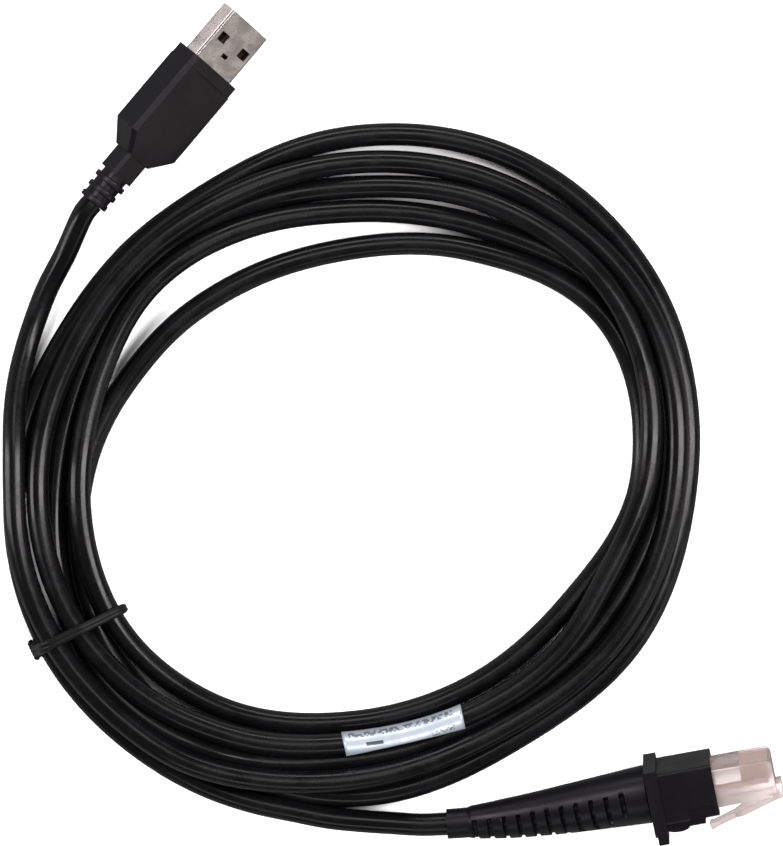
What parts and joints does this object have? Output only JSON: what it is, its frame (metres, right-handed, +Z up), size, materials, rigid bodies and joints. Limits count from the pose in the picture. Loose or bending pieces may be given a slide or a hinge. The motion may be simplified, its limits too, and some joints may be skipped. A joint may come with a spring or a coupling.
{
  "type": "coiled scanner interface cable",
  "caption": "Round black data cable wound into a tied coil, with a flat shielded host plug at one end and a clear latched modular plug in a flanged ribbed boot at the other.",
  "frame": {"origin": "middle of the footprint of the two plugs, on the surface the cable lies on", "axes": "+Z up; the cable lies flat, with the host plug towards +Y and the modular plug towards -Y and +X"},
  "size_m": [0.1604, 0.174, 0.0176],
  "materials": {
    "plug_steel": "nickel plated, bright satin",
    "insulator": "moulded white nylon",
    "contact": "gold flashed",
    "screen": "tinned braid and foil",
    "moulding": "black, fine satin texture",
    "cable_jacket": "black, smooth and slightly glossy",
    "clear_plastic": "clear, polished",
    "label": "silver film, faint blue cast",
    "tie_sleeve": "black sleeve over soft wire",
    "wire_red": "smooth insulation",
    "wire_white": "smooth insulation",
    "wire_green": "smooth insulation",
    "wire_black": "smooth insulation",
    "wire_brown": "smooth insulation",
    "drain_wire": "bare copper strand"
  },
  "bodies": {
    "cable_assembly": {"host_shell": "plug_steel", "host_tongue": "insulator", "host_contact_1": "contact", "host_contact_2": "contact", "host_contact_3": "contact", "host_contact_4": "contact", "host_rear_shield": "screen", "host_housing": "moulding", "host_strain_relief": "moulding", "host_wire_1": "wire_red", "host_wire_2": "wire_white", "host_wire_3": "wire_green", "host_wire_4": "wire_black", "host_core": "screen", "modular_plug_body": "clear_plastic", "modular_contact_1": "contact", "modular_contact_2": "contact", "modular_contact_3": "contact", "modular_contact_4": "contact", "modular_contact_5": "contact", "modular_contact_6": "contact", "modular_contact_7": "contact", "modular_contact_8": "contact", "modular_contact_9": "contact", "modular_contact_10": "contact", "modular_wire_1": "wire_red", "modular_wire_2": "wire_white", "modular_wire_3": "wire_green", "modular_wire_4": "wire_black", "modular_wire_5": "wire_brown", "modular_wire_6": "drain_wire", "boot_head": "moulding", "boot_strain_relief": "moulding", "boot_core": "screen", "cable_coil": "cable_jacket", "cable_tail_host": "cable_jacket", "cable_tail_scanner": "cable_jacket", "cable_label": "label", "tie_wire": "tie_sleeve", "tie_twist": "tie_sleeve"},
    "latch": {"modular_plug_latch": "clear_plastic"}
  },
  "joints": [
    {"name": "latch_flex", "type": "hinge", "parent": "cable_assembly", "child": "latch", "pos_m": [0.07138, -0.07564, 0.01001], "axis": [0.0448, 0.2202, -0.9744], "range_deg": [0, 12], "stiffness_Nm_per_rad": 0.1}
  ]
}
